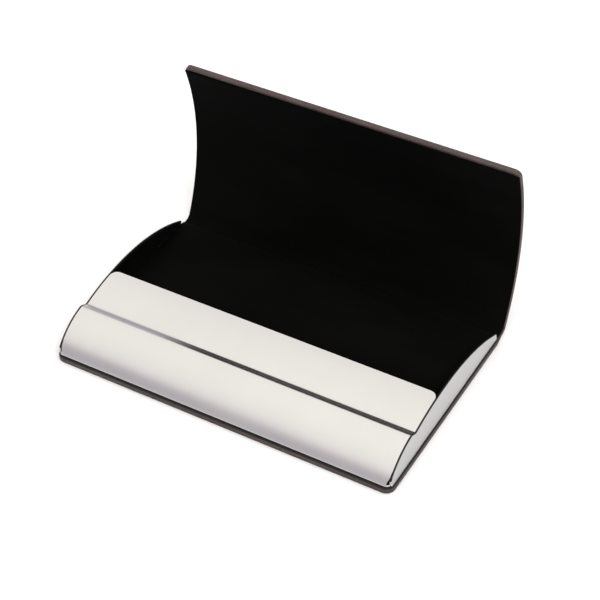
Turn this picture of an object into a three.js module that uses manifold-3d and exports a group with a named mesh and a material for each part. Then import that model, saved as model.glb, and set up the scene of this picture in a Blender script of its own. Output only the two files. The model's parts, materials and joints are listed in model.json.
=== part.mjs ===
// Business card case: a stamped steel tray with a sprung front panel, glued to a leather-covered base,
// and a curved leather-covered lid that swings on a strip of the same leather. Shown with the lid open.
// Millimetres. +X runs along the case, +Y from its front edge to the hinge, +Z up.
import * as THREE from 'three';
import { mergeVertices } from 'three/addons/utils/BufferGeometryUtils.js';
import Module from 'manifold-3d';

const wasm = await Module();
wasm.setup();

// Tray: depth coordinates start at its front edge, and heights at the underside of the base.
const TRAY_HALF_LENGTH = 46.5;
const TRAY_DEPTH = 56.2;
const SHEET = 0.4;
const TRAY_CORNER_RADIUS = 2.2;
const PANEL_INSET = 0.64;

// End walls and recessed flap share one long arc; the front bulge is a smaller one.
const CREST = { y: 27.9, z: -47.36, radius: 57.23 };
const BULGE = { y: 13.2, z: -7.23, radius: 16.32 };
const STEP_TOP_Y = 11.15;
const STEP_FOOT_Y = 13.16;
const FLAP_REAR_Y = 25.26;
const FLAP_CORNER_RADIUS = 2;
const BEND_HEIGHT = 0.6;
const FOOT_Y = 0.25;

// Base: leather sheet with its edges turned up over a stiff board.
const BASE_HALF_LENGTH = 47.08;
const BASE_FRONT_Y = -0.55;
const BASE_REAR_Y = 55.6;
const BASE_CORNER_RADIUS = 2.7;
const BASE_LEATHER = 1.2;
const BOARD_TOP = 1.78;
const BOARD_INSET = 0.5;
const FLOOR_Z = 1.8;
const ORIGIN_Y = (BASE_FRONT_Y + BASE_REAR_Y) / 2;

// Velvet.
const PILE = 0.5;
const GLUE_GAP = 0.02;

// Lid: layers around one centre line, from its hinge edge up to its free edge.
const LID_CENTRE = { y: 9.19, z: 29.33 };
const LID_HALF_LENGTH = 46.37;
const LID_OUTER = 59.25;
const LID_LEATHER_INNER = 58.52;
const LID_PLATE = { inner: 58.2, outer: 58.5 };
const LID_LINING = { inner: 57.68, outer: 58.15 };
const LID_RIM_INNER = 57.75;
const LID_RIM = 0.9;
const LID_FOOT_ANGLE = THREE.MathUtils.degToRad(-28.3);
const LID_TOP_ANGLE = THREE.MathUtils.degToRad(18.34);
const LID_CORNER_RADIUS = 2.5;
const MAGNET_WIDTH = 8;
const MAGNET_HALF_LENGTH = 44.5;
const LAYER_CLEARANCE = 0.3;

// Hinge strips, as lines of (depth, height) at the middle of their thickness.
const HINGE_HALF_LENGTH = 46.4;
const HINGE_LEATHER = { thickness: 0.8, line: [[55.75, 0.41], [58.1, 0.5], [60.75, 1.28]] };
const HINGE_LINING = { thickness: 0.4, line: [[56.5, 2.2], [57.4, 1.3], [58.9, 1.5], [59.75, 1.95]] };

const ARC_SEGMENTS = 10;

const FINISHES = {
  leather: new THREE.MeshStandardMaterial({ color: 0x4a3d3d, roughness: 0.6, metalness: 0 }),
  velvet: new THREE.MeshStandardMaterial({ color: 0x070706, roughness: 0.95, metalness: 0 }),
  satinSteel: new THREE.MeshStandardMaterial({ color: 0xd8d6d2, roughness: 0.35, metalness: 1 }),
  plateSteel: new THREE.MeshStandardMaterial({ color: 0x8f9194, roughness: 0.5, metalness: 1 }),
  board: new THREE.MeshStandardMaterial({ color: 0x141214, roughness: 0.9, metalness: 0 }),
  magnet: new THREE.MeshStandardMaterial({ color: 0x232324, roughness: 0.8, metalness: 0.1 }),
};

const group = new THREE.Group();
group.position.y = -ORIGIN_Y;

function addPiece(name, geometry, finish) {
  const mesh = new THREE.Mesh(geometry, FINISHES[finish]);
  mesh.name = name;
  group.add(mesh);
}

// --- solids -----------------------------------------------------------------------------------

// Extrude an outline drawn in (depth, height) along X, centred on x = centre.
function alongX(outline, length, centre = 0) {
  const geometry = new THREE.ExtrudeGeometry(outline, {
    depth: length, bevelEnabled: false, curveSegments: ARC_SEGMENTS,
  });
  const toSide = new THREE.Matrix4().makeBasis(
    new THREE.Vector3(0, 1, 0), new THREE.Vector3(0, 0, 1), new THREE.Vector3(1, 0, 0));
  geometry.applyMatrix4(toSide);
  geometry.translate(centre - length / 2, 0, 0);
  return geometry;
}

// Extrude a plan outline drawn in (x, depth) upwards from z = low to z = high.
function upwards(outline, low, high) {
  const geometry = new THREE.ExtrudeGeometry(outline, {
    depth: high - low, bevelEnabled: false, curveSegments: 4,
  });
  geometry.translate(0, 0, low);
  return geometry;
}

// Extrude an elevation outline drawn in (x, height) along the depth, over the whole case.
function alongY(outline, low, high) {
  const geometry = upwards(outline, -high, -low);
  geometry.rotateX(Math.PI / 2);
  return geometry;
}

function toManifold(geometry) {
  const bare = geometry.clone();
  bare.deleteAttribute('normal');
  bare.deleteAttribute('uv');
  const merged = mergeVertices(bare, 1e-4);
  return new wasm.Manifold(new wasm.Mesh({
    numProp: 3,
    vertProperties: new Float32Array(merged.attributes.position.array),
    triVerts: new Uint32Array(merged.index.array),
  }));
}

function toGeometry(manifold) {
  const { vertProperties, triVerts } = manifold.getMesh();
  const geometry = new THREE.BufferGeometry();
  geometry.setAttribute('position', new THREE.BufferAttribute(new Float32Array(vertProperties), 3));
  geometry.setIndex(new THREE.BufferAttribute(new Uint32Array(triVerts), 1));
  geometry.computeVertexNormals();
  return geometry;
}

const join = (...geometries) => toGeometry(geometries.map(toManifold).reduce((a, b) => a.add(b)));
const cut = (geometry, tool) => toGeometry(toManifold(geometry).subtract(toManifold(tool)));
const common = (geometry, tool) => toGeometry(toManifold(geometry).intersect(toManifold(tool)));

// --- outlines ---------------------------------------------------------------------------------

// Angle on a circle at a given depth (upper half), or on its front half at a given height.
const angleAtDepth = (circle, radius, y) => Math.acos((y - circle.y) / radius);
const angleAtHeight = (circle, radius, z) => Math.PI - Math.asin((z - circle.z) / radius);

// The top line of the tray, seen from its end: bulge, step and long arc, offset inwards by `inset`.
function traceTop(outline, inset, startZ, endY) {
  const bulge = BULGE.radius - inset;
  const crest = CREST.radius - inset;
  outline.absarc(BULGE.y, BULGE.z, bulge,
    angleAtHeight(BULGE, bulge, startZ), angleAtDepth(BULGE, bulge, STEP_TOP_Y - inset / 2), true);
  outline.absarc(CREST.y, CREST.z, crest,
    angleAtDepth(CREST, crest, STEP_FOOT_Y - inset / 2), angleAtDepth(CREST, crest, endY), true);
}

function traceTopBack(outline, inset, endZ, startY) {
  const bulge = BULGE.radius - inset;
  const crest = CREST.radius - inset;
  outline.absarc(CREST.y, CREST.z, crest,
    angleAtDepth(CREST, crest, startY), angleAtDepth(CREST, crest, STEP_FOOT_Y - inset / 2), false);
  outline.absarc(BULGE.y, BULGE.z, bulge,
    angleAtDepth(BULGE, bulge, STEP_TOP_Y - inset / 2), angleAtHeight(BULGE, bulge, endZ), false);
}

// Plan rectangle whose two front corners are rounded.
function frontRounded(halfLength, front, rear, radius) {
  const outline = new THREE.Shape();
  outline.moveTo(-halfLength, rear);
  outline.absarc(-halfLength + radius, front + radius, radius, Math.PI, 1.5 * Math.PI, false);
  outline.absarc(halfLength - radius, front + radius, radius, 1.5 * Math.PI, 2 * Math.PI, false);
  outline.lineTo(halfLength, rear);
  return outline;
}

// Elevation rectangle whose two top corners are rounded.
function topRounded(halfLength, bottom, top, radius) {
  const outline = new THREE.Shape();
  outline.moveTo(halfLength, bottom);
  outline.absarc(halfLength - radius, top - radius, radius, 0, Math.PI / 2, false);
  outline.absarc(-halfLength + radius, top - radius, radius, Math.PI / 2, Math.PI, false);
  outline.lineTo(-halfLength, bottom);
  return outline;
}

// A strip of constant thickness along a line of points.
function strip({ line, thickness }) {
  const half = thickness / 2;
  const normals = line.map((_, i) => {
    const [y0, z0] = line[Math.max(i - 1, 0)];
    const [y1, z1] = line[Math.min(i + 1, line.length - 1)];
    const length = Math.hypot(y1 - y0, z1 - z0);
    return [-(z1 - z0) / length, (y1 - y0) / length];
  });
  const side = (sign) => line.map(([y, z], i) => new THREE.Vector2(
    y + sign * half * normals[i][0], z + sign * half * normals[i][1]));
  return new THREE.Shape([...side(-1), ...side(1).reverse()]);
}

// A band of the lid between two radii and two angles.
function lidBand(inner, outer, foot, top) {
  const outline = new THREE.Shape();
  outline.absarc(LID_CENTRE.y, LID_CENTRE.z, outer, foot, top, false);
  outline.absarc(LID_CENTRE.y, LID_CENTRE.z, inner, top, foot, true);
  return outline;
}

// --- tray -------------------------------------------------------------------------------------

function trayShell() {
  const panel = new THREE.Shape();
  panel.moveTo(FOOT_Y + 1, FLOOR_Z);
  panel.lineTo(FOOT_Y, FLOOR_Z);
  traceTop(panel, 0, FLOOR_Z + BEND_HEIGHT, FLAP_REAR_Y);
  traceTopBack(panel, SHEET, FLOOR_Z + SHEET, FLAP_REAR_Y);
  panel.lineTo(FOOT_Y + 1, FLOOR_Z + SHEET);

  const wall = new THREE.Shape();
  wall.moveTo(FOOT_Y + 1, FLOOR_Z);
  wall.lineTo(FOOT_Y, FLOOR_Z);
  traceTop(wall, 0, FLOOR_Z + BEND_HEIGHT, TRAY_DEPTH - 0.9);
  wall.quadraticCurveTo(TRAY_DEPTH + 0.3, FLOOR_Z + 0.45, TRAY_DEPTH - 0.6, FLOOR_Z);

  const floor = new THREE.Shape();
  floor.moveTo(FOOT_Y + 0.6, FLOOR_Z);
  floor.lineTo(TRAY_DEPTH - 0.6, FLOOR_Z);
  floor.lineTo(TRAY_DEPTH - 0.6, FLOOR_Z + SHEET);
  floor.lineTo(FOOT_Y + 0.6, FLOOR_Z + SHEET);

  const panelHalf = TRAY_HALF_LENGTH - PANEL_INSET;
  const flapPlan = new THREE.Shape();
  flapPlan.moveTo(-panelHalf, BASE_FRONT_Y);
  flapPlan.lineTo(panelHalf, BASE_FRONT_Y);
  flapPlan.absarc(panelHalf - FLAP_CORNER_RADIUS, FLAP_REAR_Y - FLAP_CORNER_RADIUS,
    FLAP_CORNER_RADIUS, 0, Math.PI / 2, false);
  flapPlan.absarc(-panelHalf + FLAP_CORNER_RADIUS, FLAP_REAR_Y - FLAP_CORNER_RADIUS,
    FLAP_CORNER_RADIUS, Math.PI / 2, Math.PI, false);
  const flap = common(alongX(panel, 2 * TRAY_HALF_LENGTH), upwards(flapPlan, 0, 20));

  const wallX = TRAY_HALF_LENGTH - SHEET / 2;
  const box = join(
    alongX(floor, 2 * TRAY_HALF_LENGTH),
    flap,
    alongX(wall, SHEET, -wallX),
    alongX(wall, SHEET, wallX),
  );
  const plan = frontRounded(TRAY_HALF_LENGTH, -0.1, TRAY_DEPTH + 1, TRAY_CORNER_RADIUS);
  return common(box, upwards(plan, 0, 20));
}

function floorLining() {
  const low = FLOOR_Z + SHEET + GLUE_GAP;
  const half = TRAY_HALF_LENGTH - SHEET - 0.05;
  const plan = frontRounded(half, 1.3, TRAY_DEPTH, 1.5);
  return upwards(plan, low, low + PILE);
}

function endLining(side) {
  const low = FLOOR_Z + SHEET + PILE + 2 * GLUE_GAP;
  const underPanel = SHEET + 0.35;
  const besideWall = 0.15;
  const outline = new THREE.Shape();
  traceTop(outline, underPanel, low, FLAP_REAR_Y + 0.4);
  const crest = CREST.radius - besideWall;
  outline.absarc(CREST.y, CREST.z, crest,
    angleAtDepth(CREST, crest, FLAP_REAR_Y + 0.6), angleAtDepth(CREST, crest, TRAY_DEPTH - 1.2), true);
  outline.lineTo(TRAY_DEPTH - 1.2, low);
  const x = TRAY_HALF_LENGTH - SHEET - GLUE_GAP - PILE / 2;
  return alongX(outline, PILE, side * x);
}

// --- lid --------------------------------------------------------------------------------------

const lidTop = LID_CENTRE.z + LID_OUTER * Math.sin(LID_TOP_ANGLE);
const lidElevation = (inset, bottom) => topRounded(
  LID_HALF_LENGTH - inset, bottom, lidTop - inset, LID_CORNER_RADIUS - inset);

function lidLeather() {
  const rim = LID_RIM / LID_OUTER;
  const blank = alongX(
    lidBand(LID_RIM_INNER, LID_OUTER, LID_FOOT_ANGLE, LID_TOP_ANGLE), 2 * LID_HALF_LENGTH);
  const pocket = alongX(
    lidBand(LID_RIM_INNER - 1, LID_LEATHER_INNER, LID_FOOT_ANGLE - rim, LID_TOP_ANGLE - rim),
    2 * (LID_HALF_LENGTH - LID_RIM));
  return common(cut(blank, pocket), alongY(lidElevation(0, -5), 40, 90));
}

function lidLayer({ inner, outer }, foot, top, halfLength) {
  return alongX(lidBand(inner, outer, foot, top), 2 * halfLength);
}

// --- assembly ---------------------------------------------------------------------------------

addPiece('base_leather',
  upwards(frontRounded(BASE_HALF_LENGTH, BASE_FRONT_Y, BASE_REAR_Y, BASE_CORNER_RADIUS), 0, BASE_LEATHER),
  'leather');
addPiece('base_board',
  upwards(frontRounded(BASE_HALF_LENGTH - BOARD_INSET, BASE_FRONT_Y + BOARD_INSET, BASE_REAR_Y,
    BASE_CORNER_RADIUS - BOARD_INSET), BASE_LEATHER + GLUE_GAP, BOARD_TOP),
  'board');
addPiece('tray_shell', trayShell(), 'satinSteel');
addPiece('tray_floor_lining', floorLining(), 'velvet');
addPiece('end_lining_left', endLining(-1), 'velvet');
addPiece('end_lining_right', endLining(1), 'velvet');

const layerHalf = LID_HALF_LENGTH - LID_RIM - 0.05;
const layerTop = LID_TOP_ANGLE - (LID_RIM + 0.1) / LID_OUTER;
const magnetFoot = layerTop - MAGNET_WIDTH / LID_OUTER;
const plateTop = magnetFoot - LAYER_CLEARANCE / LID_OUTER;
addPiece('lid_leather', lidLeather(), 'leather');
addPiece('lid_plate', lidLayer(LID_PLATE, LID_FOOT_ANGLE + 0.005, plateTop, layerHalf), 'plateSteel');
addPiece('lid_magnet_strip', lidLayer(LID_PLATE, magnetFoot, layerTop, MAGNET_HALF_LENGTH), 'magnet');
addPiece('lid_lining', lidLayer(LID_LINING, LID_FOOT_ANGLE, layerTop, layerHalf), 'velvet');

addPiece('hinge_leather', alongX(strip(HINGE_LEATHER), 2 * HINGE_HALF_LENGTH), 'leather');
addPiece('hinge_lining', alongX(strip(HINGE_LINING), 2 * layerHalf), 'velvet');

export default group;
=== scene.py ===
"""Slim business card case: a satin steel tray in a leather cover with a black velvet lining, shown open.

Metres throughout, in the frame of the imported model: +X runs along the case, +Y from its front edge to the
hinge, +Z up, and the underside lies on z = 0. Every sheet is drawn as its side profile, swept along X.
"""
import json
import logging
import math
from collections.abc import Callable, Iterable, Sequence
from dataclasses import dataclass, field
from enum import Enum

import bmesh
import bpy
from mathutils import Matrix, Vector

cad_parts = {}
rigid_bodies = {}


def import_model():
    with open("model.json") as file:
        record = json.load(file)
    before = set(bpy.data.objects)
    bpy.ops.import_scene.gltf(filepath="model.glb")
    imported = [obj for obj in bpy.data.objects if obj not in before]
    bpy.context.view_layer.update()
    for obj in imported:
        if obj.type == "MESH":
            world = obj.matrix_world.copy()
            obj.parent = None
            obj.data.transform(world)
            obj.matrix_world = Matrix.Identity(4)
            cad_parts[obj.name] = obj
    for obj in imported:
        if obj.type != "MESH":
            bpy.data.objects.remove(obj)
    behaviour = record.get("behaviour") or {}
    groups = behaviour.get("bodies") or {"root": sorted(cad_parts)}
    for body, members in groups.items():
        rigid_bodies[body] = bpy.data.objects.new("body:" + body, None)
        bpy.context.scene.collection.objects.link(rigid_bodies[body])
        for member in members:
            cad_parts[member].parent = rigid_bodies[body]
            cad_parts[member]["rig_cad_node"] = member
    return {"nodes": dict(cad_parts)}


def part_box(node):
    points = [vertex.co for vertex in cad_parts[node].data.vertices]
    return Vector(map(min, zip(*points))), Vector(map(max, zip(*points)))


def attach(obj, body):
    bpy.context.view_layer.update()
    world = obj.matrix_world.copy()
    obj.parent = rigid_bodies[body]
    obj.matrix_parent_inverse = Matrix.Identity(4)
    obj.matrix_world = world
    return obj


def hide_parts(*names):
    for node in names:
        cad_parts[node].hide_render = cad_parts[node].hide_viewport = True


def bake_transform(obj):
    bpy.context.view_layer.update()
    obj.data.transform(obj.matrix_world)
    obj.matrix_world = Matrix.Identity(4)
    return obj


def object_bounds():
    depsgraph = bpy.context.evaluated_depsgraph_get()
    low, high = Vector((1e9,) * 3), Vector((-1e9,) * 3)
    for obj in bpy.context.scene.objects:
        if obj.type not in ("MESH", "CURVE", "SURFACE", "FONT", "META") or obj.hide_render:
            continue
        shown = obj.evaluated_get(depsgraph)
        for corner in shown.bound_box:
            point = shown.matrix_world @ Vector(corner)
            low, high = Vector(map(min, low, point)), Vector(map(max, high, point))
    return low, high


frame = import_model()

CAD_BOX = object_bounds()
LOG = logging.getLogger("card_case")

MM = 0.001
TINY = 1e-6
SHARP_DEGREES = 50.0
SEWN_PLACE = "sewn_place"
Point = tuple[float, float]


class Slot(Enum):
    """The record's material slots."""

    LEATHER = "leather"
    BOARD = "board"
    SATIN_STEEL = "satin_steel"
    PLATE_STEEL = "plate_steel"
    MAGNET = "magnet"
    VELVET = "velvet"


class Body(Enum):
    """The bodies that pieces ride on."""

    BASE = "base"
    LID = "lid"


# --- finishes ---------------------------------------------------------------------------------------------


class Nodes:
    """A new node material and short calls for the nodes that the finishes share."""

    def __init__(self, name: str, place: str = "") -> None:
        """Starts the material with its surface shader and coordinates.

        Args:
            name: The material's name.
            place: The mesh attribute that holds the coordinates; Object coordinates without one.
        """
        self.material = bpy.data.materials.new(name)
        self.material.use_nodes = True
        self.tree = self.material.node_tree
        self.shader = self.tree.nodes["Principled BSDF"]
        if place:
            self.coords = self.add("Attribute", attribute_name=place).outputs["Vector"]
        else:
            self.coords = self.add("TexCoord").outputs["Object"]

    def add(self, kind: str, **values: object) -> bpy.types.Node:
        """Adds a node.

        Args:
            kind: The node type after "ShaderNode".
            **values: Properties of the node.

        Returns:
            The node.
        """
        node = self.tree.nodes.new("ShaderNode" + kind)
        for key, value in values.items():
            setattr(node, key, value)
        return node

    def link(self, out: bpy.types.NodeSocket, into: bpy.types.NodeSocket) -> None:
        """Joins two sockets."""
        self.tree.links.new(out, into)

    def stretched(self, scale: Sequence[float]) -> bpy.types.NodeSocket:
        """Scales the coordinates per axis, so that a pattern is drawn out along the small ones.

        Args:
            scale: Factors for X, Y and Z.

        Returns:
            The scaled coordinates.
        """
        mapping = self.add("Mapping")
        mapping.inputs["Scale"].default_value = scale
        self.link(self.coords, mapping.inputs["Vector"])
        return mapping.outputs["Vector"]

    def noise(self, scale: float, detail: float = 3.0,
              vector: bpy.types.NodeSocket | None = None) -> bpy.types.NodeSocket:
        """Noise of a scale per metre.

        Args:
            scale: Features per metre.
            detail: Octaves.
            vector: Coordinates other than Object.

        Returns:
            The noise value.
        """
        node = self.add("TexNoise")
        node.inputs["Scale"].default_value = scale
        node.inputs["Detail"].default_value = detail
        self.link(vector or self.coords, node.inputs["Vector"])
        return node.outputs["Fac"]

    def cells(self, scale: float) -> bpy.types.NodeSocket:
        """Pebble-like cells with creases between them.

        Args:
            scale: Cells per metre.

        Returns:
            A value that is 0 in the creases.
        """
        node = self.add("TexVoronoi", feature="DISTANCE_TO_EDGE")
        node.inputs["Scale"].default_value = scale
        self.link(self.coords, node.inputs["Vector"])
        return node.outputs["Distance"]

    def ramp(self, value: bpy.types.NodeSocket, stops: Iterable[tuple[float, tuple]]) -> bpy.types.NodeSocket:
        """Colours a value.

        Args:
            value: What is coloured.
            stops: Positions and linear RGB colours, two or more.

        Returns:
            The colour.
        """
        node = self.add("ValToRGB")
        stops = list(stops)
        elements = node.color_ramp.elements
        while len(elements) < len(stops):
            elements.new(0.5)
        for element, (position, colour) in zip(elements, stops):
            element.position = position
            element.color = (*colour, 1.0)
        self.link(value, node.inputs["Fac"])
        return node.outputs["Color"]

    def spread(self, value: bpy.types.NodeSocket, low: float, high: float) -> bpy.types.NodeSocket:
        """Maps 0.3 to 0.7, where noise mostly lies, to a range.

        Args:
            value: The noise.
            low: Low end of the range.
            high: High end of the range.

        Returns:
            The mapped value.
        """
        node = self.add("MapRange")
        for key, number in (("From Min", 0.3), ("From Max", 0.7), ("To Min", low), ("To Max", high)):
            node.inputs[key].default_value = number
        self.link(value, node.inputs["Value"])
        return node.outputs["Result"]

    def mixed(self, a: bpy.types.NodeSocket, b: bpy.types.NodeSocket, share: float,
              blend: str = "MIX") -> bpy.types.NodeSocket:
        """Mixes two colours.

        Args:
            a: The first colour.
            b: The colour mixed into it.
            share: How much of b.
            blend: The blend mode.

        Returns:
            The mixed colour.
        """
        node = self.add("Mix", data_type="RGBA", blend_type=blend)
        node.inputs["Factor"].default_value = share
        self.link(a, node.inputs["A"])
        self.link(b, node.inputs["B"])
        return [out for out in node.outputs if out.type == "RGBA"][0]

    def bump(self, height: bpy.types.NodeSocket, distance: float, strength: float = 1.0,
             under: bpy.types.NodeSocket | None = None) -> bpy.types.NodeSocket:
        """Turns a height pattern into a bumped normal.

        Args:
            height: The pattern.
            distance: Its depth in metres.
            strength: How much of it shows.
            under: The normal of a bump that lies beneath this one.

        Returns:
            The normal.
        """
        node = self.add("Bump")
        node.inputs["Distance"].default_value = distance
        node.inputs["Strength"].default_value = strength
        self.link(height, node.inputs["Height"])
        if under is not None:
            self.link(under, node.inputs["Normal"])
        return node.outputs["Normal"]

    def surface(self, colour: bpy.types.NodeSocket, roughness: bpy.types.NodeSocket,
                normal: bpy.types.NodeSocket, **fixed: float | tuple) -> bpy.types.Material:
        """Joins the patterns to the shader.

        Args:
            colour: Base colour.
            roughness: Roughness.
            normal: Normal after bump.
            **fixed: Shader sockets, with _ for a space, that hold one value all over.

        Returns:
            The finished material.
        """
        self.link(colour, self.shader.inputs["Base Color"])
        self.link(roughness, self.shader.inputs["Roughness"])
        self.link(normal, self.shader.inputs["Normal"])
        for key, value in fixed.items():
            self.shader.inputs[key.replace("_", " ")].default_value = value
        return self.material


@dataclass(frozen=True)
class Leather:
    """Fine-grained taupe leather: pebbles with creases between them."""

    dark: tuple = (0.041, 0.027, 0.025)
    light: tuple = (0.064, 0.044, 0.041)
    # Painted shade: this colour is multiplied into the creases between the pebbles.
    crease_shade: tuple = (0.30, 0.27, 0.27)
    pebbles: float = 1500.0
    pores: float = 5200.0
    depth: float = 0.05 * MM

    def material(self) -> bpy.types.Material:
        """Makes the material."""
        n = Nodes("taupe_leather", SEWN_PLACE)
        cloudy = n.ramp(n.noise(90.0, 4.0), [(0.32, self.dark), (0.68, self.light)])
        grain = n.cells(self.pebbles)
        # Painted shade: the creases between the pebbles are darkened by colour.
        painted_crease_shade = n.ramp(grain, [(0.0, self.crease_shade), (0.16, (1.0, 1.0, 1.0))])
        colour = n.mixed(cloudy, painted_crease_shade, 0.65, "MULTIPLY")
        coarse = n.bump(grain, self.depth, 0.7)
        fine = n.bump(n.noise(self.pores, 2.0), self.depth / 3, 0.6, coarse)
        return n.surface(colour, n.spread(n.noise(600.0), 0.46, 0.66), fine, Specular_IOR_Level=0.42)


@dataclass(frozen=True)
class Velvet:
    """Short-pile black velvet: soft bloom at a grazing look, with the nap lying in faint strokes."""

    dark: tuple = (0.0011, 0.0011, 0.0009)
    light: tuple = (0.0026, 0.0026, 0.0024)
    pile: float = 9000.0
    strokes: float = 70.0

    def material(self) -> bpy.types.Material:
        """Makes the material."""
        n = Nodes("black_velvet", SEWN_PLACE)
        nap = n.noise(self.strokes, 3.0, n.stretched((0.35, 1.0, 1.0)))
        colour = n.ramp(nap, [(0.35, self.dark), (0.7, self.light)])
        tufts = n.bump(n.noise(self.pile, 2.0), 0.06 * MM, 0.8)
        soft = n.bump(n.noise(1400.0, 2.0), 0.05 * MM, 0.5, tufts)
        return n.surface(
            colour, n.spread(nap, 0.86, 1.0), soft, Specular_IOR_Level=0.03,
            Sheen_Weight=0.006, Sheen_Roughness=0.45, Sheen_Tint=(0.75, 0.78, 0.85, 1.0))


@dataclass(frozen=True)
class SatinSteel:
    """Satin stainless steel: fine scratches along X, faint clouding and handling marks."""

    tone: tuple = (0.53, 0.527, 0.52)
    cloud: tuple = (0.505, 0.502, 0.498)
    rough: tuple = (0.21, 0.27)
    scratch: float = 0.0004 * MM
    name: str = "satin_stainless"

    def material(self) -> bpy.types.Material:
        """Makes the material."""
        n = Nodes(self.name)
        colour = n.ramp(n.noise(55.0, 4.0), [(0.3, self.cloud), (0.7, self.tone)])
        lines = n.noise(1.0, 4.0, n.stretched((60.0, 2600.0, 2600.0)))
        grains = n.noise(2600.0, 2.0)
        rough = n.spread(n.noise(120.0, 5.0, n.stretched((0.3, 1.0, 1.0))), *self.rough)
        normal = n.bump(grains, self.scratch, 0.5, n.bump(lines, self.scratch, 0.6))
        return n.surface(colour, rough, normal, Metallic=1.0)


@dataclass(frozen=True)
class FibreboardAndSeamShade:
    """Black pressed fibreboard, seen only as a thin edge; the same black also serves as painted shade in the
    leather's seam next to the steel.
    """

    dark: tuple = (0.004, 0.0035, 0.004)
    light: tuple = (0.011, 0.010, 0.011)
    name: str = "black_fibreboard"

    def material(self) -> bpy.types.Material:
        """Makes the material."""
        n = Nodes(self.name)
        fibres = n.noise(1.0, 3.0, n.stretched((900.0, 2500.0, 6000.0)))
        colour = n.ramp(fibres, [(0.3, self.dark), (0.7, self.light)])
        return n.surface(colour, n.spread(fibres, 0.8, 0.95), n.bump(fibres, 0.03 * MM, 0.6))


@dataclass(frozen=True)
class MagnetRubber:
    """Flexible magnet: dark ferrite in rubber, faintly speckled."""

    dark: tuple = (0.012, 0.012, 0.012)
    light: tuple = (0.032, 0.031, 0.030)

    def material(self) -> bpy.types.Material:
        """Makes the material."""
        n = Nodes("magnet_rubber")
        specks = n.noise(4200.0, 3.0)
        colour = n.ramp(specks, [(0.4, self.dark), (0.62, self.light)])
        return n.surface(colour, n.spread(specks, 0.6, 0.8), n.bump(specks, 0.02 * MM, 0.5))


# --- shaping ----------------------------------------------------------------------------------------------


def object_mode() -> None:
    """Leaves edit mode and deselects every object."""
    if bpy.context.object is not None and bpy.context.object.mode != "OBJECT":
        bpy.ops.object.mode_set(mode="OBJECT")
    bpy.ops.object.select_all(action="DESELECT")


def pick(piece: bpy.types.Object) -> None:
    """Makes a piece the only selected and active object.

    Args:
        piece: The object.
    """
    object_mode()
    piece.select_set(True)
    bpy.context.view_layer.objects.active = piece


def select_where(piece: bpy.types.Object, kind: str, test: Callable) -> int:
    """Selects the vertices, edges or faces that pass a test, in edit mode.

    Args:
        piece: The object being edited.
        kind: VERT, EDGE or FACE.
        test: Called with a bmesh element; true selects it.

    Returns:
        How many were selected.
    """
    bpy.ops.mesh.select_mode(type=kind)
    bpy.ops.mesh.select_all(action="DESELECT")
    mesh = bmesh.from_edit_mesh(piece.data)
    mesh.normal_update()
    elements = {"VERT": mesh.verts, "EDGE": mesh.edges, "FACE": mesh.faces}[kind]
    chosen = [element for element in elements if test(element)]
    for element in chosen:
        element.select_set(True)
    mesh.select_flush_mode()
    bmesh.update_edit_mesh(piece.data)
    return len(chosen)


class Sweep:
    """A sheet drawn as a side profile: a straight rail along X, extruded and spun step by step."""

    def __init__(self, name: str, half_length: float, start: Point) -> None:
        """Adds a plane and keeps only its front edge, as the rail.

        Args:
            name: The piece's name.
            half_length: Half the rail's length.
            start: The rail's (depth, height).
        """
        object_mode()
        bpy.ops.mesh.primitive_plane_add(
            size=2 * half_length, location=(0, start[0] + half_length, start[1]))
        self.piece = bpy.context.object
        self.piece.name = self.piece.data.name = name
        bpy.ops.object.transform_apply(location=True, rotation=True, scale=True)
        bpy.ops.object.mode_set(mode="EDIT")
        select_where(self.piece, "VERT", lambda v: v.co.y > start[0] + half_length)
        bpy.ops.mesh.delete(type="VERT")
        bpy.ops.mesh.select_mode(type="VERT")
        bpy.ops.mesh.select_all(action="SELECT")
        self.at = start
        self.run = 0.0

    def line(self, to: Point) -> "Sweep":
        """Extrudes the profile straight on.

        Args:
            to: The (depth, height) where it ends.

        Returns:
            The sweep itself.
        """
        move = (0, to[0] - self.at[0], to[1] - self.at[1])
        bpy.ops.mesh.extrude_region_move(TRANSFORM_OT_translate={"value": move})
        self.run += math.hypot(move[1], move[2])
        self.at = to
        return self

    def arc(self, centre: Point, degrees: float, steps: int) -> "Sweep":
        """Spins the profile round a centre.

        Args:
            centre: The (depth, height) of the centre.
            degrees: How far; positive turns from depth towards height.
            steps: Facets along the arc.

        Returns:
            The sweep itself.
        """
        turn = math.radians(degrees)
        bpy.ops.mesh.spin(steps=steps, angle=-turn, center=(0, *centre), axis=(1, 0, 0), dupli=False)
        y, z = self.at[0] - centre[0], self.at[1] - centre[1]
        self.run += abs(turn) * math.hypot(y, z)
        self.at = (centre[0] + y * math.cos(turn) - z * math.sin(turn),
                   centre[1] + y * math.sin(turn) + z * math.cos(turn))
        return self

    def round_corners(self, radius: float, test: Callable) -> "Sweep":
        """Rounds corners of the sheet.

        Args:
            radius: Their radius.
            test: Called with a vertex; true rounds it.

        Returns:
            The sweep itself.
        """
        select_where(self.piece, "VERT", test)
        bpy.ops.mesh.bevel(offset=radius, offset_type="OFFSET", segments=7, profile=0.5,
                           affect="VERTICES", clamp_overlap=True)
        return self

    def done(self) -> bpy.types.Object:
        """Leaves edit mode and returns the piece."""
        object_mode()
        return self.piece


def harden(piece: bpy.types.Object, thickness: float, offset: float) -> None:
    """Gives a sheet its thickness.

    Args:
        piece: The sheet.
        thickness: Its thickness.
        offset: -1 to put the thickness behind the faces, 1 before them.
    """
    pick(piece)
    solid = piece.modifiers.new("thickness", "SOLIDIFY")
    solid.thickness = thickness
    solid.offset = offset
    solid.use_even_offset = True
    bpy.ops.object.modifier_apply(modifier=solid.name)


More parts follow.
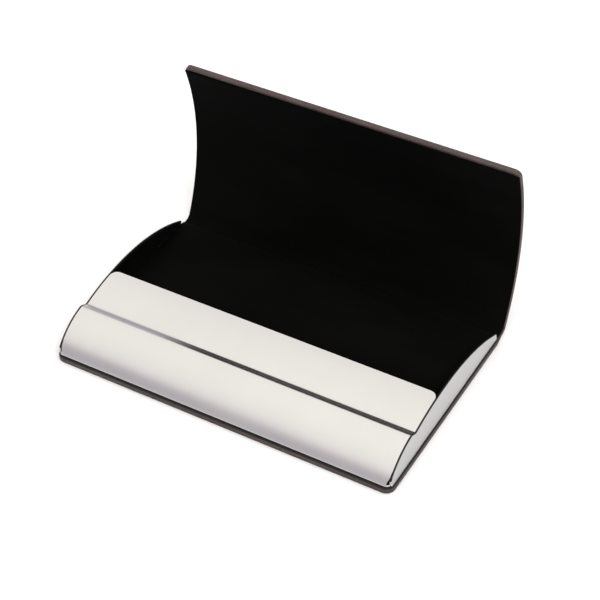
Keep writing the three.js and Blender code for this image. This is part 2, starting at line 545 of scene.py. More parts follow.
def close_up(piece: bpy.types.Object) -> None:
    """Merges doubles and turns the faces outwards.

    Args:
        piece: The closed shell.
    """
    pick(piece)
    bpy.ops.object.mode_set(mode="EDIT")
    bpy.ops.mesh.select_all(action="SELECT")
    bpy.ops.mesh.remove_doubles(threshold=TINY)
    bpy.ops.mesh.normals_make_consistent(inside=False)
    bpy.ops.object.mode_set(mode="OBJECT")


def soften(piece: bpy.types.Object, width: float, segments: int, smooth_degrees: float = 45.0) -> None:
    """Rounds the sharp edges and shades the rest smooth.

    Args:
        piece: The piece.
        width: Width of the rounding.
        segments: Steps across it.
        smooth_degrees: Edges that turn less than this are shaded smooth.
    """
    pick(piece)
    bevel = piece.modifiers.new("edges", "BEVEL")
    bevel.width = width
    bevel.segments = segments
    bevel.limit_method = "ANGLE"
    bevel.angle_limit = math.radians(SHARP_DEGREES)
    bevel.use_clamp_overlap = True
    bpy.ops.object.modifier_apply(modifier=bevel.name)
    bpy.ops.object.shade_smooth_by_angle(angle=math.radians(smooth_degrees))


def keep_place(piece: bpy.types.Object) -> None:
    """Stores each vertex's place, so that the grain stays on the sheet when it bends."""
    places = [value for vertex in piece.data.vertices for value in vertex.co]
    piece.data.attributes.new(SEWN_PLACE, "FLOAT_VECTOR", "POINT").data.foreach_set("vector", places)


def dress(piece: bpy.types.Object, material: bpy.types.Material, slot: Slot) -> None:
    """Gives a piece its finish, and for leather and velvet stores each vertex's place.

    Args:
        piece: The piece.
        material: Its finish.
        slot: The slot.
    """
    piece.data.materials.clear()
    piece.data.materials.append(material)
    if slot in (Slot.LEATHER, Slot.VELVET):
        keep_place(piece)


def report(piece: bpy.types.Object) -> None:
    """Logs a finished piece."""
    LOG.info("%s: %d faces", piece.name, len(piece.data.polygons))


# --- shared shape -----------------------------------------------------------------------------------------


@dataclass(frozen=True)
class Circle:
    """A circle in the side view, by its centre's depth and height."""

    y: float
    z: float
    radius: float

    @property
    def centre(self) -> Point:
        """The centre as (depth, height)."""
        return (self.y, self.z)

    def at_depth(self, y: float, inset: float = 0.0) -> Point:
        """The point of the upper half at a depth, on a circle smaller by inset."""
        return (y, self.z + math.sqrt((self.radius - inset) ** 2 - (y - self.y) ** 2))

    def at_angle(self, degrees: float, inset: float = 0.0) -> Point:
        """The point at an angle.

        Args:
            degrees: The angle from +Y towards +Z.
            inset: How much smaller the circle is taken.

        Returns:
            The point as (depth, height).
        """
        angle = math.radians(degrees)
        reach = self.radius - inset
        return (self.y + reach * math.cos(angle), self.z + reach * math.sin(angle))

    def degrees_of(self, point: Point) -> float:
        """The angle of a point seen from the centre."""
        return math.degrees(math.atan2(point[1] - self.z, point[0] - self.y))

    def shrunk(self, inset: float) -> "Circle":
        """The same circle, smaller by inset."""
        return Circle(self.y, self.z, self.radius - inset)


@dataclass
class Case:
    """Sizes that several sub-assemblies share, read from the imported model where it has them."""

    crest_radius: float = 57.23 * MM
    crest_depth: float = 0.375 * MM
    bulge_radius: float = 16.32 * MM
    bulge_from_crest: tuple = (-14.70 * MM, 40.13 * MM)
    step_top: float = 16.75 * MM
    step_foot: float = 14.74 * MM
    flap_rear: float = 2.64 * MM
    lid_outer_radius: float = 59.25 * MM
    lid_foot_degrees: float = -28.3
    lid_top_degrees: float = 18.5
    modelled_top_degrees: float = 18.34
    rear_lift: float = 0.6 * MM
    lift_from: float = 0.25 * MM
    crest: Circle = field(init=False)
    bulge: Circle = field(init=False)
    lid: Circle = field(init=False)
    tray_low: Vector = field(init=False)
    tray_high: Vector = field(init=False)
    leather_low: Vector = field(init=False)
    leather_high: Vector = field(init=False)
    lid_high: Vector = field(init=False)

    def __post_init__(self) -> None:
        """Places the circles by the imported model's boxes."""
        self.tray_low, self.tray_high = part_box("tray_shell")
        self.leather_low, self.leather_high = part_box("base_leather")
        lid_low, self.lid_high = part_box("lid_leather")
        self.crest = Circle(self.crest_depth, self.tray_high.z - self.crest_radius, self.crest_radius)
        self.bulge = Circle(self.crest.y + self.bulge_from_crest[0],
                            self.crest.z + self.bulge_from_crest[1], self.bulge_radius)
        rise = self.lid_outer_radius * math.sin(math.radians(self.modelled_top_degrees))
        self.lid = Circle(self.lid_high.y - self.lid_outer_radius, self.lid_high.z - rise,
                          self.lid_outer_radius)

    @property
    def floor(self) -> float:
        """Height of the tray's underside."""
        return self.tray_low.z

    def lift_rear(self, piece: bpy.types.Object) -> None:
        """Raises the rear of an end outline, which runs a little fuller than a true arc.

        Args:
            piece: The outline, in edit mode.
        """
        start = self.depth(self.flap_rear)
        reach = self.tray_high.y - start
        mesh = bmesh.from_edit_mesh(piece.data)
        for vertex in mesh.verts:
            if vertex.co.y > start and vertex.co.z > self.floor + self.lift_from:
                vertex.co.z += self.rear_lift * (vertex.co.y - start) / reach
        bmesh.update_edit_mesh(piece.data)

    def depth(self, before_crest: float) -> float:
        """Depth of a place given by its distance in front of the crest."""
        return self.crest.y - before_crest


# --- tray -------------------------------------------------------------------------------------------------


@dataclass
class Tray:
    """The stamped steel tray: floor pan, sprung front panel and two end walls."""

    case: Case
    finish: SatinSteel = SatinSteel()
    # Very dark steel for the end walls' top edge: painted shade along the rim.
    edge_shade_finish: SatinSteel = SatinSteel(
        (0.045, 0.043, 0.042), (0.03, 0.029, 0.029), (0.5, 0.65), name="painted_edge_shade")
    sheet: float = 0.4 * MM
    panel_sheet: float = 0.3 * MM
    foot_bend: float = 0.3 * MM
    panel_inset: float = 0.5 * MM
    flap_corner: float = 2.0 * MM
    pan_corner: float = 1.15 * MM
    pan_height: float = 0.5 * MM
    pan_reach: float = 0.1 * MM
    pan_inset: float = 0.12 * MM
    pan_rear: float = 0.6 * MM
    step_bend: float = 0.42 * MM
    fold_degrees: float = 20.0
    rim_round: float = 0.09 * MM
    # Height above the floor where the painted edge shade starts.
    edge_shade_rise: float = 1.6 * MM
    shade_degrees: float = 18.0
    flare: float = 1.0048
    slit_degrees: float = 4.5
    slit_reach: float = 20.0 * MM
    slit_draws: tuple = ((1.3 * MM, 0.9945), (2.1 * MM, 0.9965), (3.0 * MM, 0.998))
    wall_front: float = 0.6 * MM
    wall_toe: float = 0.5 * MM
    wall_rear: float = 0.55 * MM
    wall_heel: float = 0.25 * MM
    step_fall: Point = (0.5, 0.56)
    nose: tuple = ((0.22 * MM, -0.08 * MM), (0.4 * MM, -0.26 * MM), (0.48 * MM, -0.55 * MM))
    tuck_steps: int = 5
    tuck_pitch: float = 0.4 * MM
    tuck_limit: float = 0.95

    def __post_init__(self) -> None:
        """Finds where the bend at the panel's foot meets the bulge."""
        bulge = self.case.bulge
        z = self.case.floor + self.foot_bend
        reach = bulge.radius - self.foot_bend
        self.bend = Circle(bulge.y - math.sqrt(reach ** 2 - (z - bulge.z) ** 2), z, self.foot_bend)
        self.meet_degrees = bulge.degrees_of(self.bend.centre)
        self.bright = self.finish.material()
        self.edge_shade_material = self.edge_shade_finish.material()

    @property
    def half_length(self) -> float:
        """Half the tray's length."""
        return self.case.tray_high.x

    def panel(self) -> bpy.types.Object:
        """The front panel: foot bend, bulge, step down and recessed flap.

        Returns:
            The panel.
        """
        case = self.case
        half = self.half_length - self.panel_inset
        top = case.bulge.at_depth(case.depth(case.step_top))
        foot = case.crest.at_depth(case.depth(case.step_foot))
        rear = case.crest.at_depth(case.depth(case.flap_rear))
        sweep = Sweep("tray_panel", half, (self.bend.y, case.floor))
        sweep.arc(self.bend.centre, self.meet_degrees - 270.0, steps=8)
        sweep.arc(case.bulge.centre, case.bulge.degrees_of(top) - self.meet_degrees, steps=18)
        sweep.line(foot)
        sweep.arc(case.crest.centre, case.crest.degrees_of(rear) - case.crest.degrees_of(foot), steps=5)
        sweep.round_corners(self.flap_corner, lambda v: v.co.y > rear[0] - TINY)
        piece = sweep.done()
        self.pinch_foot(piece)
        pick(piece)
        fold = piece.modifiers.new("step", "BEVEL")
        fold.width = self.step_bend
        fold.segments = 5
        fold.limit_method = "ANGLE"
        fold.angle_limit = math.radians(self.fold_degrees)
        bpy.ops.object.modifier_apply(modifier=fold.name)
        self.thicken_inwards(piece)
        return piece

    def pinch_foot(self, piece: bpy.types.Object) -> None:
        """Draws the panel's ends in towards its foot, where the relief slit is widest.

        Args:
            piece: The panel, before it gets its thickness.
        """
        pick(piece)
        bpy.ops.object.mode_set(mode="EDIT")
        rear = self.case.depth(self.slit_reach)
        for rise, draw in self.slit_draws:
            top = self.case.floor + rise
            select_where(piece, "VERT", lambda v: v.co.z < top and v.co.y < rear)
            bpy.ops.transform.resize(value=(draw, 1, 1), center_override=(0, 0, 0))
        object_mode()

    def thicken_inwards(self, piece: bpy.types.Object) -> None:
        """Adds the sheet's thickness on the side that faces into the tray.

        Args:
            piece: The panel.
        """
        pick(piece)
        bpy.ops.object.mode_set(mode="EDIT")
        bpy.ops.mesh.select_all(action="SELECT")
        bpy.ops.mesh.normals_make_consistent(inside=False)
        count = select_where(
            piece, "FACE", lambda f: f.normal.z < 0 and f.calc_center_median().y > self.bend.y)
        if count > len(piece.data.polygons) / 2:
            bpy.ops.mesh.select_all(action="SELECT")
            bpy.ops.mesh.flip_normals()
        object_mode()
        harden(piece, self.panel_sheet, -1.0)
        soften(piece, self.rim_round, 2, self.shade_degrees)

    def pan(self) -> bpy.types.Object:
        """The floor pan, with the rounded front corners that close the tray.

        Returns:
            The pan.
        """
        object_mode()
        front = self.bend.y - self.pan_reach
        rear = self.case.tray_high.y - self.pan_rear
        bpy.ops.mesh.primitive_plane_add(size=1, location=(0, (front + rear) / 2, self.case.floor))
        piece = bpy.context.object
        piece.name = piece.data.name = "tray_pan"
        piece.scale = (2 * (self.half_length - self.pan_inset), rear - front, 1)
        bpy.ops.object.transform_apply(location=True, rotation=True, scale=True)
        bpy.ops.object.mode_set(mode="EDIT")
        select_where(piece, "VERT", lambda v: v.co.y < 0)
        bpy.ops.mesh.bevel(offset=self.pan_corner, offset_type="OFFSET", segments=8, profile=0.5,
                           affect="VERTICES")
        bpy.ops.mesh.select_all(action="SELECT")
        bpy.ops.mesh.extrude_region_move(TRANSFORM_OT_translate={"value": (0, 0, self.pan_height)})
        close_up(piece)
        soften(piece, self.rim_round, 2, self.shade_degrees)
        return piece

    def end_wall(self, side: int) -> bpy.types.Object:
        """One end wall, drawn as its outline and pulled out to the sheet's thickness.

        Args:
            side: 1 for the right end, -1 for the left.

        Returns:
            The wall.
        """
        case = self.case
        top = case.bulge.at_depth(case.depth(case.step_top))
        foot = case.crest.at_depth(case.depth(case.step_foot))
        tip = case.crest.at_depth(case.tray_high.y - self.wall_rear)
        toe = (self.bend.y + self.wall_toe, case.floor + self.wall_toe)
        from_degrees = self.meet_degrees - self.slit_degrees
        meet = case.bulge.at_angle(from_degrees)
        sweep = Sweep("end_wall", self.half_length, (self.bend.y + self.wall_front, case.floor))
        select_where(sweep.piece, "VERT", lambda v: v.co.x * side < 0)
        bpy.ops.mesh.delete(type="VERT")
        bpy.ops.mesh.select_all(action="SELECT")
        sweep.line(toe).line(meet)
        sweep.arc(case.bulge.centre, case.bulge.degrees_of(top) - from_degrees, steps=22)
        sweep.line(tuple(a + share * (b - a) for a, b, share in zip(top, foot, self.step_fall)))
        sweep.line(foot)
        sweep.arc(case.crest.centre, case.crest.degrees_of(tip) - case.crest.degrees_of(foot), steps=44)
        for ahead, rise in self.nose:
            sweep.line((tip[0] + ahead, tip[1] + rise))
        sweep.line((tip[0] + self.wall_heel, case.floor))
        case.lift_rear(sweep.piece)
        bpy.ops.mesh.select_all(action="SELECT")
        bpy.ops.mesh.edge_face_add()
        bpy.ops.mesh.extrude_region_move(TRANSFORM_OT_translate={"value": (-side * self.sheet, 0, 0)})
        piece = sweep.done()
        close_up(piece)
        self.tuck_in(piece, side)
        soften(piece, self.rim_round, 2, self.shade_degrees)
        # Painted shade along the wall's top edge.
        self.paint_edge_shade(piece)
        return piece

    def paint_edge_shade(self, piece: bpy.types.Object) -> None:
        """Paints the wall's top edge dark, as painted shade along the rim.

        Args:
            piece: The wall.
        """
        piece.data.materials.append(self.bright)
        piece.data.materials.append(self.edge_shade_material)
        pick(piece)
        bpy.ops.object.mode_set(mode="EDIT")
        edge_shade_from = self.case.floor + self.edge_shade_rise
        select_where(piece, "FACE", lambda f: abs(f.normal.x) < 0.9
                     and f.calc_center_median().z > edge_shade_from and f.normal.z > 0)
        piece.active_material_index = 1
        bpy.ops.object.material_slot_assign()
        object_mode()

    def tuck_in(self, piece: bpy.types.Object, side: int) -> None:
        """Turns the wall's front edge in round the pan's corner, and leans its foot out.

        Args:
            piece: The wall.
            side: 1 for the right end, -1 for the left.
        """
        pick(piece)
        bpy.ops.object.mode_set(mode="EDIT")
        start = self.bend.y - self.foot_bend + self.pan_corner
        for step in range(self.tuck_steps):
            bpy.ops.mesh.select_all(action="SELECT")
            bpy.ops.mesh.bisect(plane_co=(0, start - step * self.tuck_pitch, 0), plane_no=(0, 1, 0))
        bpy.ops.mesh.select_all(action="DESELECT")
        mesh = bmesh.from_edit_mesh(piece.data)
        for vertex in mesh.verts:
            reach = min(start - vertex.co.y, self.tuck_limit * self.pan_corner)
            if reach > TINY:
                vertex.co.x -= side * (self.pan_corner - math.sqrt(self.pan_corner ** 2 - reach ** 2))
            elif vertex.co.z < self.case.floor + self.pan_height:
                vertex.co.x *= self.flare
        bmesh.update_edit_mesh(piece.data)
        object_mode()

    def build(self) -> None:
        """Makes the tray as one piece in place of the plain one."""
        parts = [self.pan(), self.panel()]
        for part in parts:
            part.data.materials.append(self.bright)
        parts += [self.end_wall(1), self.end_wall(-1)]
        pick(parts[0])
        for part in parts[1:]:
            part.select_set(True)
        bpy.ops.object.join()
        tray = bpy.context.object
        tray.name = tray.data.name = "steel_tray"
        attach(tray, Body.BASE.value)
        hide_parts("tray_shell")
        report(tray)


# --- leather ----------------------------------------------------------------------------------------------


@dataclass
class Cover:
    """The leather: one sheet under the tray, round the hinge and over the lid, with its edges turned in."""

    case: Case
    material: bpy.types.Material
    # Black for the seam next to the steel: painted shade.
    seam_shade: bpy.types.Material
    seam_shade_from: float = 1.25 * MM
    thickness: float = 0.72 * MM
    turned_width: float = 0.95 * MM
    base_turn: float = 0.66 * MM
    lid_spread: float = 0.2 * MM
    lid_turn: float = 0.63 * MM
    base_corner: float = 2.4 * MM
    lid_corner: float = 1.8 * MM
    edge_round: float = 0.24 * MM
    seam_shade_reach: float = 0.3 * MM
    lid_border_from: float = 2.6 * MM
    inside: Point = (3.0 * MM, 25.0 * MM)
    bend_from: Point = (-2.9 * MM, 0.4 * MM)
    bend_to: Point = (-1.3 * MM, 0.6 * MM)

    def build(self) -> None:
        """Makes the cover in place of the three plain leather solids."""
        case = self.case
        lid_half = case.lid_high.x + self.lid_spread
        foot = case.lid.at_angle(case.lid_foot_degrees)
        turn = 90.0 + case.lid_foot_degrees
        bend = foot[1] / (1.0 - math.cos(math.radians(turn)))
        hinge = Circle(foot[0] - bend * math.sin(math.radians(turn)), bend, bend)
        sweep = Sweep("leather_cover", lid_half, (case.leather_low.y, 0.0))
        sweep.line((case.leather_high.y, 0.0))
        sweep.line((hinge.y, 0.0))
        sweep.arc(hinge.centre, turn, steps=8)
        sweep.arc(case.lid.centre, case.lid_top_degrees - case.lid_foot_degrees, steps=16)
        top = case.lid.at_angle(case.lid_top_degrees)
        sweep.round_corners(self.lid_corner, lambda v: v.co.z > top[1] - TINY)
        select_where(sweep.piece, "VERT", lambda v: v.co.y < case.leather_high.y + TINY and v.co.z < TINY)
        bpy.ops.transform.resize(value=(case.leather_high.x / lid_half, 1, 1), center_override=(0, 0, 0))
        sweep.round_corners(self.base_corner, lambda v: v.co.y < case.leather_low.y + TINY)
        piece = sweep.done()
        self.face_out(piece)
        harden(piece, self.thickness, -1.0)
        self.turn_edges(piece)
        soften(piece, self.edge_round, 4, 50.0)
        dress(piece, self.material, Slot.LEATHER)
        # Painted shade in the seam between the leather and the steel.
        self.paint_seam_shade(piece)
        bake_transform(piece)
        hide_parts("base_leather", "hinge_leather", "lid_leather")
        report(piece)

    def paint_seam_shade(self, piece: bpy.types.Object) -> None:
        """Blackens the top of the turned edge round the base, next to the steel, as painted shade in the
        seam.

        Args:
            piece: The cover.
        """
        piece.data.materials.append(self.seam_shade)
        pick(piece)
        bpy.ops.object.mode_set(mode="EDIT")
        select_where(piece, "FACE", lambda f: f.normal.z > 0.8 and f.calc_center_median().z > self.seam_shade_from
                     and f.calc_center_median().y < self.case.leather_high.y + self.seam_shade_reach)
        piece.active_material_index = 1
        bpy.ops.object.material_slot_assign()
        object_mode()

    def faces_inside(self, face: bmesh.types.BMFace) -> bool:
        """Tells the faces that look into the open case.

        Args:
            face: A face of the cover.

        Returns:
            True for such a face.
        """
        middle = face.calc_center_median()
        towards = Vector((0, self.inside[0] - middle.y, self.inside[1] - middle.z)).normalized()
        return abs(face.normal.x) < 0.5 and face.normal.dot(towards) > 0.3

    def face_out(self, piece: bpy.types.Object) -> None:
        """Turns the sheet's faces outwards before it gets its thickness.

        Args:
            piece: The bare sheet.
        """
        pick(piece)
        bpy.ops.object.mode_set(mode="EDIT")
        bpy.ops.mesh.select_all(action="SELECT")
        bpy.ops.mesh.normals_make_consistent(inside=False)
        if select_where(piece, "FACE", self.faces_inside) > len(piece.data.polygons) / 2:
            bpy.ops.mesh.select_all(action="SELECT")
            bpy.ops.mesh.flip_normals()
        object_mode()

    def turn_edges(self, piece: bpy.types.Object) -> None:
        """Raises a border round the inner side, where the leather is folded over.

        Args:
            piece: The cover, with its thickness.
        """
        pick(piece)
        bpy.ops.object.mode_set(mode="EDIT")
        select_where(piece, "FACE", self.faces_inside)
        bpy.ops.mesh.inset(thickness=self.turned_width, use_even_offset=True, use_boundary=True)
        mesh = bmesh.from_edit_mesh(piece.data)
        mesh.faces.index_update()
        middle_faces = {face.index for face in mesh.faces if face.select}

        def on_base(face: bmesh.types.BMFace) -> bool:
            """A border face of the base."""
            return (face.index not in middle_faces and self.faces_inside(face)
                    and face.calc_center_median().y < self.case.leather_high.y)

        def on_lid(face: bmesh.types.BMFace) -> bool:
            """A border face of the lid."""
            return (face.index not in middle_faces and self.faces_inside(face)
                    and face.calc_center_median().z > self.lid_border_from)

        for test, height in ((on_base, self.base_turn), (on_lid, self.lid_turn)):
            select_where(piece, "FACE", test)
            bpy.ops.mesh.extrude_region_shrink_fatten(
                TRANSFORM_OT_shrink_fatten={"value": height, "use_even_offset": True})
        object_mode()
        close_up(piece)


# --- velvet -----------------------------------------------------------------------------------------------


@dataclass
class Lining:
    """The velvet: one sheet over the tray floor, down into the hinge and up the lid; and two end pieces."""

    case: Case
    material: bpy.types.Material
    pile: float = 0.22 * MM
    lid_half_length: float = 46.46 * MM
    end_pile: float = 0.45 * MM
    half_length: float = 45.95 * MM
    floor_rise: float = 0.9 * MM
    front_gap: float = 1.5 * MM
    top_margin: float = 0.95 * MM
    lid_inset: float = 1.57 * MM
    band_width: float = 7.6 * MM
    band_rise: float = 0.16 * MM
    beside_panel: float = 0.75 * MM
    beside_wall: float = 0.15 * MM
    past_flap: float = 0.4 * MM
    wall_from: float = 0.6 * MM
    floor_end: float = 0.5 * MM
    fall: tuple = ((0.2 * MM, -0.25 * MM), (0.75 * MM, -0.85 * MM))
    valley: tuple = ((-0.5 * MM, -0.62 * MM), (0.3 * MM, -0.72 * MM))
    climb: Point = (-0.75 * MM, -0.5 * MM)
    bend_from: Point = (0.6 * MM, -0.3 * MM)
    bend_to: Point = (-0.1 * MM, 0.0)
    band_border: float = 0.7 * MM
    band_above: float = 20.0 * MM
    sheet_round: float = 0.13 * MM
    end_round: float = 0.12 * MM

    def sheet(self) -> None:
        """The continuous sheet, with the magnet strip showing through as a faint raised band."""
        case = self.case
        inner = case.lid.shrunk(self.lid_inset)
        foot = inner.at_angle(case.lid_foot_degrees)
        top_degrees = case.lid_top_degrees - math.degrees(self.top_margin / inner.radius)
        band_degrees = math.degrees(self.band_width / inner.radius)
        height = case.floor + self.floor_rise
        rear = case.tray_high.y
        middle = (rear + foot[0]) / 2
        sweep = Sweep("velvet_lining", self.half_length, (case.tray_low.y + self.front_gap, height))
        sweep.line((rear - self.floor_end, height))
        for behind, drop in self.fall:
            sweep.line((rear + behind, height + drop))
        for behind, drop in self.valley:
            sweep.line((middle + behind, foot[1] + drop))
        sweep.line((foot[0] + self.climb[0], foot[1] + self.climb[1]))
        sweep.line(foot)
        sweep.arc(inner.centre, top_degrees - band_degrees - case.lid_foot_degrees, steps=26)
        sweep.arc(inner.centre, band_degrees, steps=6)
        piece = sweep.done()
        self.face_in(piece)
        self.widen_lid(piece, rear + self.bend_from[0])
        harden(piece, self.pile, -1.0)
        self.raise_band(piece, inner, top_degrees - band_degrees)
        soften(piece, self.sheet_round, 3, 60.0)
        dress(piece, self.material, Slot.VELVET)
        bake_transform(piece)
        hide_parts("tray_floor_lining", "hinge_lining", "lid_lining")
        report(piece)

    def face_in(self, piece: bpy.types.Object) -> None:
        """Turns the sheet's pile side into the case, so that its thickness goes behind it.

        Args:
            piece: The bare sheet.
        """
        pick(piece)
        bpy.ops.object.mode_set(mode="EDIT")
        bpy.ops.mesh.select_all(action="SELECT")
        bpy.ops.mesh.normals_make_consistent(inside=False)
        if select_where(piece, "FACE", lambda f: f.normal.z < -0.9) > 0:
            bpy.ops.mesh.select_all(action="SELECT")
            bpy.ops.mesh.flip_normals()
        object_mode()

    def widen_lid(self, piece: bpy.types.Object, from_depth: float) -> None:
        """Takes the velvet out over the turned edges.

        Args:
            piece: The bare sheet.
            from_depth: Where that starts, behind the end walls.
        """
        pick(piece)
        bpy.ops.object.mode_set(mode="EDIT")
        select_where(piece, "VERT", lambda v: v.co.y > from_depth)
        bpy.ops.transform.resize(value=(self.lid_half_length / self.half_length, 1, 1),
                                 center_override=(0, 0, 0))
        object_mode()

    def raise_band(self, piece: bpy.types.Object, inner: Circle, from_degrees: float) -> None:
        """Lifts the pile over the magnet strip along the lid's free edge.

        Args:
            piece: The sheet, with its thickness.
            inner: The circle that the sheet follows on the lid.
            from_degrees: Where the strip's lower edge lies on it.
        """
        pick(piece)
        bpy.ops.object.mode_set(mode="EDIT")

        def over_strip(face: bmesh.types.BMFace) -> bool:
            """A pile-side face above the band's lower edge."""
            middle = face.calc_center_median()
            towards = Vector((0, inner.y - middle.y, inner.z - middle.z)).normalized()
            place = inner.degrees_of((middle.y, middle.z))
            return face.normal.dot(towards) > 0.9 and place > from_degrees and middle.z > self.band_above

        select_where(piece, "FACE", over_strip)
        bpy.ops.mesh.inset(thickness=self.band_border, use_even_offset=True, use_boundary=True)
        bpy.ops.transform.shrink_fatten(value=self.band_rise, use_even_offset=True)
        object_mode()

    def end_piece(self, side: int) -> None:
        """The velvet inside one end wall.

        Args:
            side: 1 for the right end, -1 for the left.
        """
        case = self.case
        name = "end_lining_right" if side > 0 else "end_lining_left"
        low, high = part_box(name)
        outer_x = max(abs(low.x), abs(high.x))
        bulge = case.bulge.shrunk(self.beside_panel)
        under = case.crest.shrunk(self.beside_panel)
        beside = case.crest.shrunk(self.beside_wall)
        start_y = bulge.y - math.sqrt(bulge.radius ** 2 - (low.z - bulge.z) ** 2)
        top = bulge.at_depth(case.depth(case.step_top) - self.beside_panel / 2)
        foot = under.at_depth(case.depth(case.step_foot) - self.beside_panel / 2)
        panel_end = under.at_depth(case.depth(case.flap_rear) + self.past_flap)
        wall_start = beside.at_depth(case.depth(case.flap_rear) + self.wall_from)
        wall_end = beside.at_depth(high.y)
        sweep = Sweep(name + "_velvet", outer_x, (start_y, low.z))
        select_where(sweep.piece, "VERT", lambda v: v.co.x * side < 0)
        bpy.ops.mesh.delete(type="VERT")
        bpy.ops.mesh.select_all(action="SELECT")
        sweep.arc(bulge.centre, bulge.degrees_of(top) - bulge.degrees_of((start_y, low.z)), steps=12)
        sweep.line(foot)
        sweep.arc(under.centre, under.degrees_of(panel_end) - under.degrees_of(foot), steps=8)
        sweep.line(wall_start)
        sweep.arc(beside.centre, beside.degrees_of(wall_end) - beside.degrees_of(wall_start), steps=26)
        sweep.line((high.y, low.z))
        case.lift_rear(sweep.piece)
        bpy.ops.mesh.select_all(action="SELECT")
        bpy.ops.mesh.edge_face_add()
        bpy.ops.mesh.extrude_region_move(TRANSFORM_OT_translate={"value": (-side * self.end_pile, 0, 0)})
        piece = sweep.done()
        close_up(piece)
        soften(piece, self.end_round, 3)
        dress(piece, self.material, Slot.VELVET)
        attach(piece, Body.BASE.value)
        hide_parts(name)
        report(piece)

    def build(self) -> None:
        """Makes all the velvet."""
        self.sheet()
        self.end_piece(1)
        self.end_piece(-1)


# --- hidden layers ----------------------------------------------------------------------------------------


@dataclass
class Core:
    """The stiff layers between the skins, which keep their modelled shape."""

    finishes: dict = field(default_factory=lambda: {
        "base_board": (FibreboardAndSeamShade(), Slot.BOARD),
        "lid_plate": (SatinSteel((0.42, 0.42, 0.42), (0.36, 0.36, 0.37), (0.4, 0.55), name="plate_steel"),
                      Slot.PLATE_STEEL),
        "lid_magnet_strip": (MagnetRubber(), Slot.MAGNET),
    })

    def build(self) -> None:
        """Dresses each layer."""
        for name, (finish, slot) in self.finishes.items():
            piece = frame["nodes"][name]
            dress(piece, finish.material(), slot)
            report(piece)


# --- studio -----------------------------------------------------------------------------------------------


@dataclass
class Softbox:
    """One large soft light."""

    name: str
    place: tuple
    size: float
    power: float
    colour: tuple = (1.0, 1.0, 1.0)

    def build(self) -> None:
        """Hangs the light, facing the case."""
        lamp = bpy.data.lights.new(self.name, "AREA")
        lamp.size = self.size
        lamp.energy = self.power
        lamp.color = self.colour
        holder = bpy.data.objects.new(self.name, lamp)
        holder.location = self.place
        holder.rotation_euler = (-Vector(self.place)).to_track_quat("-Z", "Y").to_euler()
        bpy.context.collection.objects.link(holder)


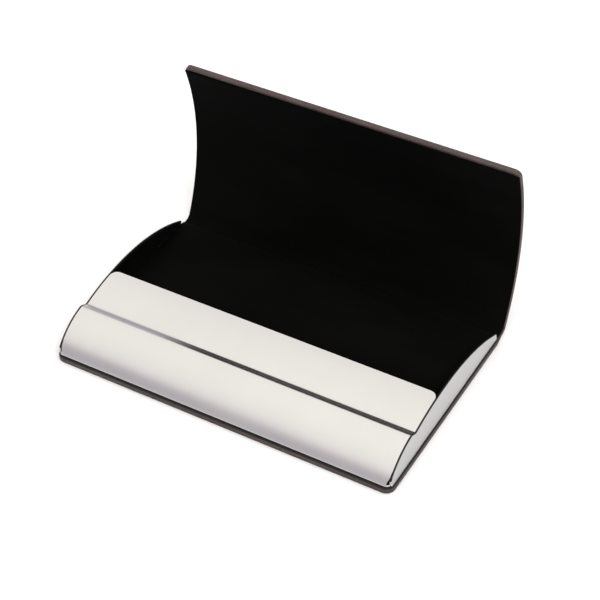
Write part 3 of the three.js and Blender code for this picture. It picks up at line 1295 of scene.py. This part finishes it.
@dataclass
class Studio:
    """Pale floor, even room light, softboxes and the camera."""

    camera_place: tuple = (174.23 * MM, -266.94 * MM, 312.07 * MM)
    azimuth: float = 31.968
    elevation: float = 42.770
    roll: float = -2.637
    lens: float = 107.9
    floor_tone: tuple = (0.735, 0.75, 0.76)
    floor_size: float = 6.0
    floor_gap: float = 0.02 * MM
    room_strength: float = 1.76
    room: tuple = (
        (0.50, (0.66, 0.65, 0.64)), (0.63, (0.45, 0.42, 0.45)), (0.745, (0.435, 0.40, 0.435)),
        (0.815, (0.83, 0.79, 0.775)), (0.90, (0.89, 0.862, 0.822)), (1.0, (0.95, 0.93, 0.88)),
    )
    boxes: tuple = (
        Softbox("softbox_key", (0.55, -0.25, 0.95), 0.5, 4.5, (1.0, 0.99, 0.97)),
        Softbox("softbox_back", (0.60, 0.75, 0.60), 0.4, 1.6),
    )

    def floor(self) -> None:
        """A wide pale floor just under the case."""
        object_mode()
        bpy.ops.mesh.primitive_plane_add(
            size=self.floor_size, location=(0, 0, CAD_BOX[0].z - self.floor_gap))
        floor = bpy.context.object
        floor.name = "studio_floor"
        n = Nodes("pale_floor")
        tone = n.ramp(n.noise(8.0), [(0.3, self.floor_tone), (0.7, tuple(0.99 * c for c in self.floor_tone))])
        n.surface(tone, n.spread(n.noise(40.0), 0.75, 0.85), n.bump(n.noise(900.0), 0.01 * MM, 0.1),
                  Specular_IOR_Level=0.1)
        floor.data.materials.append(n.material)

    def light(self) -> None:
        """Room light and softboxes."""
        world = bpy.data.worlds.new("room")
        world.use_nodes = True
        tree = world.node_tree
        background = tree.nodes["Background"]
        background.inputs["Strength"].default_value = self.room_strength
        split = tree.nodes.new("ShaderNodeSeparateXYZ")
        tree.links.new(tree.nodes.new("ShaderNodeTexCoord").outputs["Generated"], split.inputs[0])
        height = tree.nodes.new("ShaderNodeMapRange")
        height.inputs["From Min"].default_value = -1.0
        tree.links.new(split.outputs["Z"], height.inputs["Value"])
        ramp = tree.nodes.new("ShaderNodeValToRGB")
        elements = ramp.color_ramp.elements
        while len(elements) < len(self.room):
            elements.new(0.5)
        for element, (position, colour) in zip(elements, self.room):
            element.position = position
            element.color = (*colour, 1.0)
        tree.links.new(height.outputs["Result"], ramp.inputs["Fac"])
        tree.links.new(ramp.outputs["Color"], background.inputs["Color"])
        bpy.context.scene.world = world
        for box in self.boxes:
            box.build()

    def camera(self) -> None:
        """The camera, by its place and the angles it looks along."""
        azimuth, elevation, roll = (math.radians(a) for a in (self.azimuth, self.elevation, self.roll))
        ahead = Vector((-math.sin(azimuth) * math.cos(elevation),
                        math.cos(azimuth) * math.cos(elevation), -math.sin(elevation)))
        right = ahead.cross(Vector((0, 0, 1))).normalized()
        up = right.cross(ahead)
        turned_right = math.cos(roll) * right + math.sin(roll) * up
        turned_up = math.cos(roll) * up - math.sin(roll) * right
        axes = Matrix((turned_right, turned_up, -ahead)).transposed()
        lens = bpy.data.cameras.new("camera")
        lens.lens = self.lens
        lens.sensor_width = 36.0
        lens.clip_start = 0.01
        lens.clip_end = 20.0
        holder = bpy.data.objects.new("camera", lens)
        holder.location = self.camera_place
        holder.rotation_euler = axes.to_euler()
        bpy.context.collection.objects.link(holder)
        bpy.context.scene.camera = holder

    def build(self) -> None:
        """Sets the studio up."""
        bpy.context.scene.view_settings.view_transform = "Standard"
        self.floor()
        self.light()
        self.camera()


def main() -> None:
    """Builds the case and the studio."""
    logging.basicConfig(level=logging.INFO, format="%(message)s")
    case = Case()
    Studio().build()
    Tray(case).build()
    # The cover's second material is painted shade for the seam next to the steel.
    Cover(case, Leather().material(), FibreboardAndSeamShade(name="painted_seam_shade").material()).build()
    Lining(case, Velvet().material()).build()
    Core().build()


if __name__ == "__main__":
    main()
